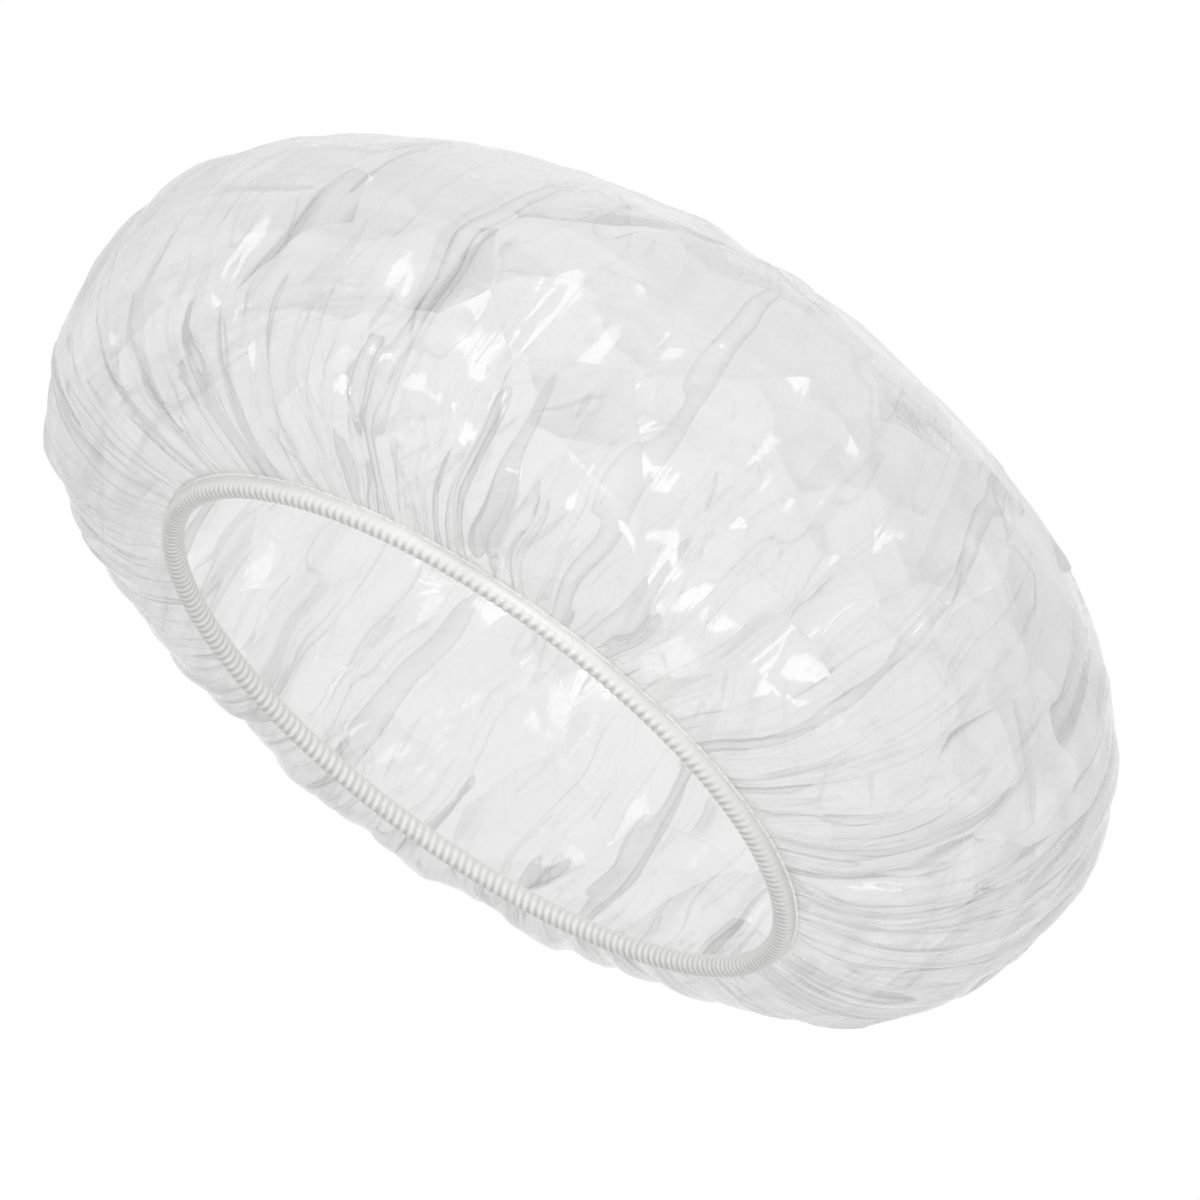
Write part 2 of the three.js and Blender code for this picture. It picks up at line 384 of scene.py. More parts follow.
# %% Filled shape
FILM_LEAN = math.tan(math.radians(2))
LEAN_FROM = 10 * MM
SAG = 7 * MM
SAG_TOWARDS = math.radians(118)
SAG_CURVE = 1.5
SAG_OFF_LIP = 14 * MM
OUTER_HALF = 0.5

filled_radius = np.interp(length, outline_length, outline_radius)
filled_height = np.interp(length, outline_length, outline_height)
filled_x = filled_radius * np.cos(angle)
above_lip = np.clip((filled_height - lip_height) / LEAN_FROM, 0, 1)
filled_height = filled_height + FILM_LEAN * filled_x * above_lip
below_widest = np.clip((WIDEST_HEIGHT - filled_height) / (WIDEST_HEIGHT - lip_height), 0, 1)
off_lip = np.clip((film_reach - length) / SAG_OFF_LIP, 0, 1)
shoulder = below_widest * off_lip * (ring > OUTER_HALF)
sagging = np.clip(np.cos(angle - SAG_TOWARDS), 0, 1) ** SAG_CURVE
filled_height = filled_height - SAG * shoulder * sagging
filled = np.stack([filled_x, filled_radius * np.sin(angle), filled_height], 1)
print("filled film, mm:", (np.ptp(filled, axis=0) / MM).round(1))

# %% [markdown]
# ## Gathering the film
# Blender's cloth does the buckling. The mesh rests in the slack shape, and a shape key draws every point's
# goal to the filled shape over the first frames. The lip is held fast. The rest is held softly, and more
# loosely towards the rim, so that it follows the outline on the whole and folds as it likes in detail. A
# little pressure keeps it puffed out.

# %% Goals for the cloth
FIRST_FRAME = 1
DRAW_FRAMES = 20
SOFT_HOLD = 0.46
CROWN_HOLD = 1.15
HOLD_DROP = 0.35
DROP_FROM = 0.4
DROP_OVER = 0.5

film.data.vertices.foreach_set("co", slack.ravel())
film.shape_key_add(name="slack")
drawn = film.shape_key_add(name="filled")
drawn.data.foreach_set("co", filled.ravel())
drawn.value = 0
drawn.keyframe_insert("value", frame=FIRST_FRAME)
drawn.value = 1
drawn.keyframe_insert("value", frame=DRAW_FRAMES)

hold = film.vertex_groups.new(name="hold")
looser = CROWN_HOLD - HOLD_DROP * np.clip((ring - DROP_FROM) / DROP_OVER, 0, 1)
for point, weight in enumerate(np.where(held_edge, 1.0, SOFT_HOLD * looser)):
    hold.add([point], float(weight), "REPLACE")
print("points held fast:", int(held_edge.sum()))

# %% Cloth
SETTLE_FRAMES = 45
STEPS_PER_FRAME = 6
FILM_WEIGHT = 0.02
STRETCH = 40
BEND = 12.0
PUFF = 0.7

cloth = film.modifiers.new("gathering", "CLOTH")
cloth.settings.quality = STEPS_PER_FRAME
cloth.settings.mass = FILM_WEIGHT
cloth.settings.air_damping = 1
cloth.settings.tension_stiffness = STRETCH
cloth.settings.compression_stiffness = STRETCH
cloth.settings.shear_stiffness = STRETCH / 2
cloth.settings.bending_stiffness = BEND
cloth.settings.vertex_group_mass = hold.name
cloth.settings.pin_stiffness = 1
cloth.settings.use_pressure = True
cloth.settings.uniform_pressure_force = PUFF
cloth.settings.effector_weights.gravity = 0
cloth.collision_settings.use_collision = False
cloth.collision_settings.use_self_collision = False
cloth.point_cache.frame_end = SETTLE_FRAMES
for frame_number in range(FIRST_FRAME, SETTLE_FRAMES + 1):
    scene.frame_set(frame_number)
bpy.ops.object.convert(target="MESH")
scene.frame_set(FIRST_FRAME)
print("cloth settled, modifiers left:", len(film.modifiers))

# %% [markdown]
# The rim draws the real film into far finer folds than the simulation's triangles can hold, so its coarse
# folds are calmed towards the lip. The rest is smoothed, and one subdivision rounds it. The points also keep
# where they were in the flat cut, as an attribute in metres, so that a pattern can follow the film.

# %% Finish the film's mesh
CALM_REACH = 75 * MM
CALM_LEAST = 0.12
SMOOTHING_PASSES = 5
SMOOTHING_PULL = 0.5

free = np.clip(CALM_LEAST + (1 - CALM_LEAST) * (film_reach - length) / CALM_REACH, 0, 1)
calmed = filled + (points_of(film) - filled) * free[:, None]
film.data.vertices.foreach_set("co", calmed.ravel())
flat_place = film.data.attributes.new("cut", "FLOAT_VECTOR", "POINT")
flat_cut = np.stack([length * np.cos(angle), length * np.sin(angle), np.zeros(point_count)], 1)
flat_place.data.foreach_set("vector", flat_cut.ravel())

bpy.ops.object.mode_set(mode="EDIT")
bpy.ops.mesh.select_all(action="DESELECT")
bpy.ops.mesh.select_non_manifold()
bpy.ops.mesh.select_all(action="INVERT")
bpy.ops.mesh.vertices_smooth(factor=SMOOTHING_PULL, repeat=SMOOTHING_PASSES)
bpy.ops.mesh.select_all(action="SELECT")
bpy.ops.mesh.subdivide(number_cuts=1, smoothness=1)
bpy.ops.object.mode_set(mode="OBJECT")
bpy.ops.object.shade_smooth()
settled = points_of(film)
print("film box, mm:", (settled.min(0) / MM).round(1), (settled.max(0) / MM).round(1))

# %% [markdown]
# ## Facets from the packet
# Film that was folded small keeps flat facets with sharp edges between them. Scatter points over the flat
# cut, and each point of the film lies some way from the line halfway between its two nearest ones. That
# distance, as a height, makes small roofs of flat faces. Two sizes of roof, one up and one down, cross each
# other as real creases do.

# %% Press the facets in
# Each kind of facet has its size and its slope.
FACETS = ((34 * MM, 0.04), (20 * MM, -0.02))
FACETS_OFF_LIP = 30 * MM

flat_cut = np.empty(len(settled) * 3)
film.data.attributes["cut"].data.foreach_get("vector", flat_cut)
flat_cut = flat_cut.reshape(-1, 3)[:, :2]
out_of_film = np.empty(len(settled) * 3)
film.data.vertices.foreach_get("normal", out_of_film)
out_of_film = out_of_film.reshape(-1, 3)
height = np.zeros(len(settled))
for size, slope in FACETS:
    count = int(math.pi * film_reach**2 / size**2)
    far = film_reach * np.sqrt(draw.uniform(0, 1, count))
    way = draw.uniform(0, FULL_TURN, count)
    centres = np.stack([far * np.cos(way), far * np.sin(way)], 1)
    finder = KDTree(count)
    for number, (x, y) in enumerate(centres):
        finder.insert((x, y, 0), number)
    finder.balance()
    nearest = np.array([[hit[1] for hit in finder.find_n((x, y, 0), 2)] for x, y in flat_cut])
    first = centres[nearest[:, 0]]
    second = centres[nearest[:, 1]]
    to_halfway = (first + second) / 2 - flat_cut
    roof = (to_halfway * (second - first)).sum(1) / np.linalg.norm(second - first, axis=1)
    height += slope * (roof - roof.mean())
cut_reach = np.linalg.norm(flat_cut, axis=1)
from_lip = np.clip((film_reach - cut_reach) / FACETS_OFF_LIP, 0, 1)
settled += out_of_film * (height * from_lip)[:, None]
film.data.vertices.foreach_set("co", settled.ravel())
film.data.update()
print("facets press the film by, mm:", round(height.min() / MM, 2), "to", round(height.max() / MM, 2))

# %% [markdown]
# ## Creases from the rim
# Each pleat at the rim runs up into the film as a crease, sharp along its line and flat on both sides, and
# fades out on the way. Some stand out and some lie in. Each crease is a line in the flat cut that bends a
# little, and the height falls away from it on both sides.

# %% Press the creases in
RIM_CREASES = 70
CREASE_DEPTH = (0.5 * MM, 2.2 * MM)
CREASE_SPREAD = (4 * MM, 14 * MM)
CREASE_END = (0.25, 0.85)
CREASE_BEND = 0.25
CREASE_RISE = 5

cut_angle = np.arctan2(flat_cut[:, 1], flat_cut[:, 0])
round_radius = np.interp(cut_reach, outline_length, outline_radius)
crease_height = np.zeros(len(settled))
for _ in range(RIM_CREASES):
    start = draw.uniform(0, FULL_TURN)
    end = film_reach * draw.uniform(*CREASE_END)
    depth = draw.uniform(*CREASE_DEPTH) * draw.choice((-1, 1))
    up_film = np.clip((film_reach - cut_reach) / (film_reach - end), 0, 1)
    bend = draw.normal() * CREASE_BEND
    sideways = within_half_turn(cut_angle - start - bend * up_film**2)
    spread = np.interp(up_film, (0, 1), CREASE_SPREAD)
    fade = np.sqrt(1 - up_film) * np.clip(CREASE_RISE * up_film, 0, 1)
    crease_height += depth * fade * np.exp(-np.abs(sideways) * round_radius / spread)
settled += out_of_film * crease_height[:, None]
film.data.vertices.foreach_set("co", settled.ravel())
film.data.update()
print("lowest crease, mm:", round(crease_height.min() / MM, 2))
print("highest crease, mm:", round(crease_height.max() / MM, 2))

# %% [markdown]
# ## The ribbed rim
# The hem is a tube of film drawn up on the elastic, so it shows as a ring of small soft beads, each a little
# tilted. One bead is modelled: a circle standing across the rim, extruded in short steps round it and scaled
# at each step, narrow at the grooves and full between them.

# %% One bead of the hem
RIB_COUNT = 248
HEM_RADIUS = 2.9 * MM
HEM_SIDES = 16
BEAD_PROFILE = (0.86, 0.985, 1.02, 0.985, 0.86)
BEAD_LEAN = math.radians(14)

bead_step = FULL_TURN / RIB_COUNT / (len(BEAD_PROFILE) - 1)
hem_middle = Vector((RIM_DIAMETER / 2, 0, HEM_RADIUS))
bpy.ops.object.select_all(action="DESELECT")
bpy.ops.mesh.primitive_circle_add(
    vertices=HEM_SIDES, radius=HEM_RADIUS, location=hem_middle, rotation=(math.pi / 2, 0, 0)
)
hem = bpy.context.object
hem.name = "ribbed_hem"
bpy.ops.object.transform_apply(location=True, rotation=True)
bpy.ops.object.mode_set(mode="EDIT")
bpy.ops.mesh.select_all(action="SELECT")
bpy.ops.transform.rotate(value=BEAD_LEAN, orient_axis="X", center_override=hem_middle)
bpy.ops.transform.resize(value=[BEAD_PROFILE[0]] * 3, center_override=hem_middle)
for before, after in zip(BEAD_PROFILE, BEAD_PROFILE[1:]):
    bpy.ops.mesh.extrude_edges_move()
    bpy.ops.transform.rotate(value=-bead_step, orient_axis="Z", center_override=(0, 0, 0))
    hem_middle.rotate(Matrix.Rotation(bead_step, 3, "Z"))
    bpy.ops.transform.resize(value=[after / before] * 3, center_override=hem_middle)
bpy.ops.object.mode_set(mode="OBJECT")
bead = points_of(hem)
print("bead box, mm:", (bead.min(0) / MM).round(2), (bead.max(0) / MM).round(2))

# %% [markdown]
# Spin copies the bead all the way round, the copies are welded into one tube, and a random nudge takes away
# the machine-made look. A subdivision then rounds the beads off.

# %% Spin the bead round the rim
WELD = 0.02 * MM
BEAD_NUDGE = 0.14 * MM
NUDGE_SEED = 3


def round_off(piece):
    """Subdivides the active piece once, smoothly, and shades it smooth."""
    rounding = piece.modifiers.new("rounding", "SUBSURF")
    rounding.levels = 1
    rounding.render_levels = 1
    bpy.ops.object.modifier_apply(modifier=rounding.name)
    bpy.ops.object.shade_smooth()


bpy.ops.object.mode_set(mode="EDIT")
bpy.ops.mesh.select_all(action="SELECT")
bpy.ops.mesh.spin(steps=RIB_COUNT, dupli=True, angle=FULL_TURN, center=(0, 0, 0), axis=(0, 0, 1))
bpy.ops.mesh.select_all(action="SELECT")
bpy.ops.mesh.remove_doubles(threshold=WELD)
bpy.ops.mesh.normals_make_consistent(inside=False)
bpy.ops.transform.vertex_random(offset=BEAD_NUDGE, seed=NUDGE_SEED)
bpy.ops.object.mode_set(mode="OBJECT")
round_off(hem)
print("hem faces:", len(hem.data.polygons))

# %% [markdown]
# The seal pulls the film tight over the rim's outer upper side, so the ribs fade out there and stay deep on
# the inner lower side. Each point moves to or from the middle of the tube, by how far it faces away from the
# ribs. The rim stands on a level surface, so nothing goes below it.

# %% Smooth the rim's outer side
RIBBED_SIDE = math.radians(225)
SMOOTH_SIDE = 0.98 * HEM_RADIUS
RIBS_LEVEL = 0.62
RIBS_SWING = 0.8

beads = points_of(hem)
ring_radius = np.hypot(beads[:, 0], beads[:, 1])
past_middle = ring_radius - RIM_DIAMETER / 2
over_middle = beads[:, 2] - HEM_RADIUS
tube_radius = np.hypot(past_middle, over_middle)
towards_ribs = np.cos(np.arctan2(over_middle, past_middle) - RIBBED_SIDE)
ribbed = np.clip(RIBS_LEVEL + RIBS_SWING * towards_ribs, 0, 1)
rounder = (SMOOTH_SIDE + (tube_radius - SMOOTH_SIDE) * ribbed) / tube_radius
in_or_out = (RIM_DIAMETER / 2 + past_middle * rounder) / ring_radius
beads[:, 0] *= in_or_out
beads[:, 1] *= in_or_out
beads[:, 2] = np.maximum(HEM_RADIUS + over_middle * rounder, 0)
hem.data.vertices.foreach_set("co", beads.ravel())
hem.data.update()
print("hem box, mm:", (beads.min(0) / MM).round(2), (beads.max(0) / MM).round(2))

# %% [markdown]
# ## The sealed lip
# Just outside the rim, the turned edge is sealed to the film in a narrow band. The gathers run on into it, so
# its free edge is a fine ruffle that catches the light as a broken white line. A circle is extruded outward
# in short steps, and the ruffle grows towards the edge, more in some places than in others. Solidify then
# gives the band its thickness.

# %% Extrude the lip
LIP_POINTS_PER_RIB = 4
LIP_FROM = 2.6 * MM
LIP_TO = 4.4 * MM
LIP_STEPS = 4

outward = math.cos(SEAL_ANGLE)
upward = math.sin(SEAL_ANGLE)
bpy.ops.object.select_all(action="DESELECT")
bpy.ops.mesh.primitive_circle_add(
    vertices=RIB_COUNT * LIP_POINTS_PER_RIB,
    radius=RIM_DIAMETER / 2 + LIP_FROM * outward,
    location=(0, 0, RIM_HEIGHT + LIP_FROM * upward),
)
lip = bpy.context.object
lip.name = "sealed_lip_ruffle"
bpy.ops.object.transform_apply(location=True)
bpy.ops.object.mode_set(mode="EDIT")
bpy.ops.mesh.select_all(action="SELECT")
lip_step = (LIP_TO - LIP_FROM) / LIP_STEPS
for step in range(LIP_STEPS):
    before = RIM_DIAMETER / 2 + (LIP_FROM + step * lip_step) * outward
    wider = 1 + lip_step * outward / before
    bpy.ops.mesh.extrude_edges_move(TRANSFORM_OT_translate={"value": (0, 0, lip_step * upward)})
    bpy.ops.transform.resize(value=(wider, wider, 1), center_override=(0, 0, 0))
bpy.ops.object.mode_set(mode="OBJECT")
print("lip, mm wide:", round((LIP_TO - LIP_FROM) / MM, 1))

# %% Ruffle the lip
LIP_RUFFLE = 0.18 * MM
RUFFLE_VARIES = (0.3, 1.0)
LIP_THICKNESS = 0.16 * MM

places = points_of(lip)
lip_reach = np.hypot(places[:, 0], places[:, 1])
round_rim = np.arctan2(places[:, 1], places[:, 0])
share = np.clip((lip_reach - lip_reach.min()) / (lip_reach.max() - lip_reach.min()), 0, 1)
column = np.rint(round_rim / FULL_TURN * RIB_COUNT * LIP_POINTS_PER_RIB).astype(int)
wave_size = draw.uniform(*RUFFLE_VARIES, RIB_COUNT)
wave = np.sin(column / LIP_POINTS_PER_RIB * FULL_TURN)
wave *= wave_size[(column // LIP_POINTS_PER_RIB) % RIB_COUNT]
shift = LIP_RUFFLE * share * wave
places[:, 0] -= shift * upward * np.cos(round_rim)
places[:, 1] -= shift * upward * np.sin(round_rim)
places[:, 2] += shift * outward
lip.data.vertices.foreach_set("co", places.ravel())
thickness = lip.modifiers.new("thickness", "SOLIDIFY")
thickness.thickness = LIP_THICKNESS
thickness.offset = 0
bpy.ops.object.modifier_apply(modifier=thickness.name)
round_off(lip)
print("lip faces:", len(lip.data.polygons))

# %% [markdown]
# ## Clear polyethylene film
# Blown polyethylene film is clear with a slight milky haze, and glossy. Its folds and creases belong to the
# cut, so every pattern reads the point's place in the flat cut, swayed a little so that no line is straight.
# What runs from the rim is drawn out along the radius: those coordinates count units round the rim one way,
# and lengths along the radius the other way.

# %% Film coordinates
WARP_SIZE = 35 * MM
WARP_REACH = 7 * MM
NOISE_MIDDLE = 0.5

finish, tree, output = new_finish("clear_polyethylene_film")
cut = add_node(tree, "ShaderNodeAttribute", attribute_name="cut").outputs["Vector"]
sway = add_node(tree, NOISE, {"Vector": cut, "Scale": 1 / WARP_SIZE, "Detail": 1.0})
sway = add_node(tree, VECTOR_MATH, {0: sway.outputs["Color"], 1: [NOISE_MIDDLE] * 3}, operation="SUBTRACT")
sway = add_node(
    tree, VECTOR_MATH, {0: sway.outputs[0], 1: [2 * WARP_REACH] * 3, 2: cut}, operation="MULTIPLY_ADD"
)
swayed = sway.outputs[0]
heading = add_node(tree, VECTOR_MATH, {0: swayed}, operation="NORMALIZE").outputs[0]
reach = add_node(tree, VECTOR_MATH, {0: cut}, operation="LENGTH").outputs["Value"]


def drawn_out(count, length):
    """Coordinates with a number of units round the rim, and one unit for each length along the radius."""
    round_rim = add_node(tree, VECTOR_MATH, {0: heading, "Scale": count / FULL_TURN}, operation="SCALE")
    outwards = add_node(tree, MATH, {0: reach, 1: length}, operation="DIVIDE")
    outwards = add_node(tree, COMBINE, {"Z": outwards.outputs[0]})
    both = add_node(tree, VECTOR_MATH, {0: round_rim.outputs[0], 1: outwards.outputs[0]}, operation="ADD")
    return both.outputs[0]


print("film coordinates: flat cut, swayed by up to", round(WARP_REACH / MM, 1), "mm")

# %% [markdown]
# Where film lies in more than one layer, it looks greyer, from more haze and from painted shade in its
# colour, so one value, the layers, gathers up all folds. Old creases from the packet come first, as a net of
# hairlines: a line is drawn where a point is about as far from one scattered centre as from the next.

# %% Hairlines
CREASE_SIZE = 14 * MM
CREASE_WIDTH = 0.4 * MM
CREASE_SHADE = 0.2

net = add_node(
    tree,
    VORONOI,
    {"Vector": swayed, "Scale": 1 / CREASE_SIZE},
    voronoi_dimensions="2D",
    feature="DISTANCE_TO_EDGE",
)
hairline = add_node(
    tree,
    MAP_RANGE,
    {
        "Value": net.outputs["Distance"],
        "From Max": CREASE_WIDTH / CREASE_SIZE,
        "To Min": CREASE_SHADE,
        "To Max": 0.0,
    },
)
layers = hairline.outputs[0]
print("hairline width, mm:", round(CREASE_WIDTH / MM, 2))

# %% [markdown]
# The pleats that start at the rim lie flat, in long pointed bands that are sharp on one edge and soft on the
# other. A noise that is drawn out along the radius and cut off at a level gives such bands, and a level that
# rises away from the rim brings each band to a point. There are broad ones, and fine ones nearer the rim.

# %% Pleat bands
PLEATS = (
    {
        "count": 90,
        "length": 170 * MM,
        "start": 0.35,
        "levels": (0.72, 0.54),
        "sharp": 0.006,
        "soft": 0.09,
        "shade": 0.65,
    },
    {
        "count": 230,
        "length": 90 * MM,
        "start": 0.55,
        "levels": (0.76, 0.53),
        "sharp": 0.010,
        "soft": 0.08,
        "shade": 0.42,
    },
)

for pleat in PLEATS:
    run = drawn_out(pleat["count"], pleat["length"])
    noise = add_node(tree, NOISE, {"Vector": run, "Scale": 1.0, "Detail": 1.0}).outputs["Fac"]
    level = add_node(
        tree,
        MAP_RANGE,
        {
            "Value": reach,
            "From Min": pleat["start"] * film_reach,
            "From Max": film_reach,
            "To Min": pleat["levels"][0],
            "To Max": pleat["levels"][1],
        },
    )
    over = add_node(tree, MATH, {0: noise, 1: level.outputs[0]}, operation="SUBTRACT").outputs[0]
    rise = add_node(tree, MAP_RANGE, {"Value": over, "From Min": -pleat["sharp"], "From Max": 0.0})
    fall = add_node(
        tree,
        MAP_RANGE,
        {"Value": over, "From Max": pleat["soft"], "To Min": pleat["shade"], "To Max": 0.0},
    )
    both = {0: rise.outputs[0], 1: fall.outputs[0], 2: layers}
    layers = add_node(tree, MATH, both, operation="MULTIPLY_ADD").outputs[0]
print("pleat bands:", len(PLEATS), "sizes")

# %% [markdown]
# A fold that isn't pressed flat shows as a thin grey line, from more haze and painted shade. The line along
# which a drawn-out noise passes its middle value runs up the film and back down in the shape of a long leaf,
# as folds do. The lines get fainter away from the rim.

# %% Fold lines
FOLD_LINES = (
    {"count": 55, "length": 150 * MM, "start": -0.4, "width": 0.012, "shade": 0.6},
    {"count": 130, "length": 90 * MM, "start": 0.4, "width": 0.02, "shade": 0.5},
)

for line in FOLD_LINES:
    run = drawn_out(line["count"], line["length"])
    noise = add_node(tree, NOISE, {"Vector": run, "Scale": 1.0, "Detail": 1.0}).outputs["Fac"]
    off = add_node(tree, MATH, {0: noise, 1: NOISE_MIDDLE}, operation="SUBTRACT")
    off = add_node(tree, MATH, {0: off.outputs[0]}, operation="ABSOLUTE").outputs[0]
    shade = add_node(
        tree,
        MAP_RANGE,
        {
            "Value": reach,
            "From Min": line["start"] * film_reach,
            "From Max": film_reach,
            "To Min": 0.0,
            "To Max": line["shade"],
        },
    )
    thin = add_node(tree, MAP_RANGE, {"Value": off, "From Max": line["width"], "To Min": 1.0, "To Max": 0.0})
    both = {0: thin.outputs[0], 1: shade.outputs[0], 2: layers}
    layers = add_node(tree, MATH, both, operation="MULTIPLY_ADD").outputs[0]
print("fold lines:", len(FOLD_LINES), "sizes")

# %% [markdown]
# Between the pleats, film keeps flat facets with sharp edges, from the packet and from being gathered. Cells
# scattered over the film stand for the facets. Within a cell, a height that grows with the square of the way
# from its middle takes the dome's roundness out, so the facet is flat, and a random slope tips it. Each facet
# that turns to a lamp then flashes white. Near the rim the pleats take over, so the facets fade there.

# %% Facets
FACET_SIZE = 32 * MM
FACET_TILT = 0.2
DOME_RADIUS = 95 * MM
FACETS_FADE_FROM = 0.7
FACETS_AT_RIM = 0.15

cells = add_node(tree, VORONOI, {"Vector": swayed, "Scale": 1 / FACET_SIZE}, voronoi_dimensions="2D")
offset = add_node(tree, VECTOR_MATH, {0: swayed, 1: cells.outputs["Position"]}, operation="SUBTRACT")
offset = add_node(tree, VECTOR_MATH, {0: offset.outputs[0], 1: (1, 1, 0)}, operation="MULTIPLY").outputs[0]
bulge = add_node(tree, VECTOR_MATH, {0: offset, 1: offset}, operation="DOT_PRODUCT").outputs["Value"]
slope = add_node(tree, VECTOR_MATH, {0: cells.outputs["Color"], 1: [NOISE_MIDDLE] * 3}, operation="SUBTRACT")
tipped = add_node(tree, VECTOR_MATH, {0: slope.outputs[0], 1: offset}, operation="DOT_PRODUCT")
tipped = tipped.outputs["Value"]
tipped = add_node(tree, MATH, {0: tipped, 1: 2 * FACET_TILT}, operation="MULTIPLY").outputs[0]
facet = add_node(tree, MATH, {0: bulge, 1: 1 / (2 * DOME_RADIUS), 2: tipped}, operation="MULTIPLY_ADD")
off_rim = add_node(
    tree,
    MAP_RANGE,
    {
        "Value": reach,
        "From Min": FACETS_FADE_FROM * film_reach,
        "From Max": film_reach,
        "To Min": 1.0,
        "To Max": FACETS_AT_RIM,
    },
)
facet = add_node(tree, MATH, {0: facet.outputs[0], 1: off_rim.outputs[0]}, operation="MULTIPLY")
print("facets, mm:", round(FACET_SIZE / MM))

# %% [markdown]
# The film's relief is these facets, a small step at each edge of a fold, and two finer patterns that break up
# the glints: streaks along the radius and an even crinkle. The facets' height is already in metres. The other
# heights go from 0 to 1, so each gets its own depth.

# %% Relief of the film
STEP_HEIGHT = 0.05 * MM
STREAKS_ROUND = 420
STREAK_LENGTH = 45 * MM
STREAK_RELIEF = 0.08 * MM
CRINKLE_SIZE = 3 * MM
CRINKLE_RELIEF = 0.008 * MM

run = drawn_out(STREAKS_ROUND, STREAK_LENGTH)
streaks = add_node(tree, NOISE, {"Vector": run, "Scale": 1.0, "Detail": 2.0}).outputs["Fac"]
crinkle = add_node(tree, NOISE, {"Vector": cut, "Scale": 1 / CRINKLE_SIZE, "Detail": 2.0}).outputs["Fac"]
relief = add_node(tree, BUMP, {"Height": facet.outputs[0], "Distance": 1.0}).outputs[0]
for heights, depth in ((layers, STEP_HEIGHT), (streaks, STREAK_RELIEF), (crinkle, CRINKLE_RELIEF)):
    relief = add_node(tree, BUMP, {"Height": heights, "Distance": depth, "Normal": relief}).outputs[0]
print("streaks round the rim:", STREAKS_ROUND)

# %% [markdown]
# Seen straight on, a layer of this film takes away about three tenths of the white behind it. Edge on, as at
# a fold, the light has further to go through it, and the fold draws a grey line. So the share of light that
# passes follows the slant: e to the power of minus the haze over the cosine of the slant. More layers mean
# more haze. A little more light passes on its way to a shadow, because haze scatters it on as well.

# %% How much light passes
HAZE = 0.37
THINNEST_SLANT = 0.34
SHADOW_SHARE = 0.8

slant = add_node(tree, "ShaderNodeLayerWeight", {"Blend": 0.5, "Normal": relief}).outputs["Facing"]
cosine = add_node(tree, MATH, {0: 1.0, 1: slant}, operation="SUBTRACT").outputs[0]
cosine = add_node(tree, MATH, {0: cosine, 1: THINNEST_SLANT}, operation="MAXIMUM").outputs[0]
haze = add_node(tree, MAP_RANGE, {"Value": layers, "To Min": -HAZE, "To Max": -2 * HAZE}, clamp=False)
through = add_node(tree, MATH, {0: haze.outputs[0], 1: cosine}, operation="DIVIDE")
shadow_ray = add_node(tree, LIGHT_PATH).outputs["Is Shadow Ray"]
onward = add_node(tree, MAP_RANGE, {"Value": shadow_ray, "To Min": 1.0, "To Max": SHADOW_SHARE})
through = add_node(tree, MATH, {0: through.outputs[0], 1: onward.outputs[0]}, operation="MULTIPLY")
passed = add_node(tree, MATH, {0: through.outputs[0]}, operation="EXPONENT").outputs[0]
print("haze straight on:", round(1 - math.exp(-HAZE), 3))

# %% [markdown]
# The haze is a white glossy plastic with a sharper gloss on top. Where layers add up or the film stands edge
# on, its colour is painted greyer, as painted shade for the light lost between layers and in folds. It is
# mixed with a plain see-through shader by the share of light that passes.

# %% Film finish
EDGE_ON = (0.2, 0.6)
EDGE_SHADE = 0.3
FILM_IOR = 1.51

edge_on = add_node(
    tree,
    MAP_RANGE,
    {"Value": cosine, "From Min": EDGE_ON[0], "From Max": EDGE_ON[1], "To Min": EDGE_SHADE, "To Max": 0.0},
)
shade = add_node(tree, MATH, {0: layers, 1: edge_on.outputs[0]}, operation="ADD").outputs[0]
# Painted shade: the haze's colour darkens where layers add up and where the film stands edge on.
painted_shade_tint = add_node(
    tree,
    MIX,
    {"Factor": shade, FIRST_COLOUR: linear("#efefef"), SECOND_COLOUR: linear("#b2b2b2")},
    data_type="RGBA",
)
milky = add_node(
    tree,
    PRINCIPLED,
    {
        "Base Color": painted_shade_tint.outputs[MIXED_COLOUR],
        "Roughness": 0.16,
        "IOR": FILM_IOR,
        "Coat Weight": 1.0,
        "Coat Roughness": 0.04,
        "Normal": relief,
        "Coat Normal": relief,
    },
)
clear = add_node(tree, TRANSPARENT, {"Color": linear("#f5f5f5")})
film_mix = add_node(tree, MIX_SHADER, {0: passed, 1: milky.outputs[0], 2: clear.outputs[0]})
tree.links.new(film_mix.outputs[0], output.inputs["Surface"])
film.data.materials.append(finish)
print("film finish:", finish.name)

# %% [markdown]
# ## White gathered film
# In the hem the same film lies in dozens of layers, so the haze adds up to an opaque soft white with a waxy
# gloss. The bottom of a groove is painted grey, as painted shade, since little light reaches it. How far a
# point lies from the middle of the tube tells groove from crest. The upper side is painted lighter all over
# and the lower side darker, as painted light from above.
# Fine creases, less than a millimetre apart, roughen the white.

# %% Grooves and crests of the hem
GROOVE = BEAD_PROFILE[0] * HEM_RADIUS

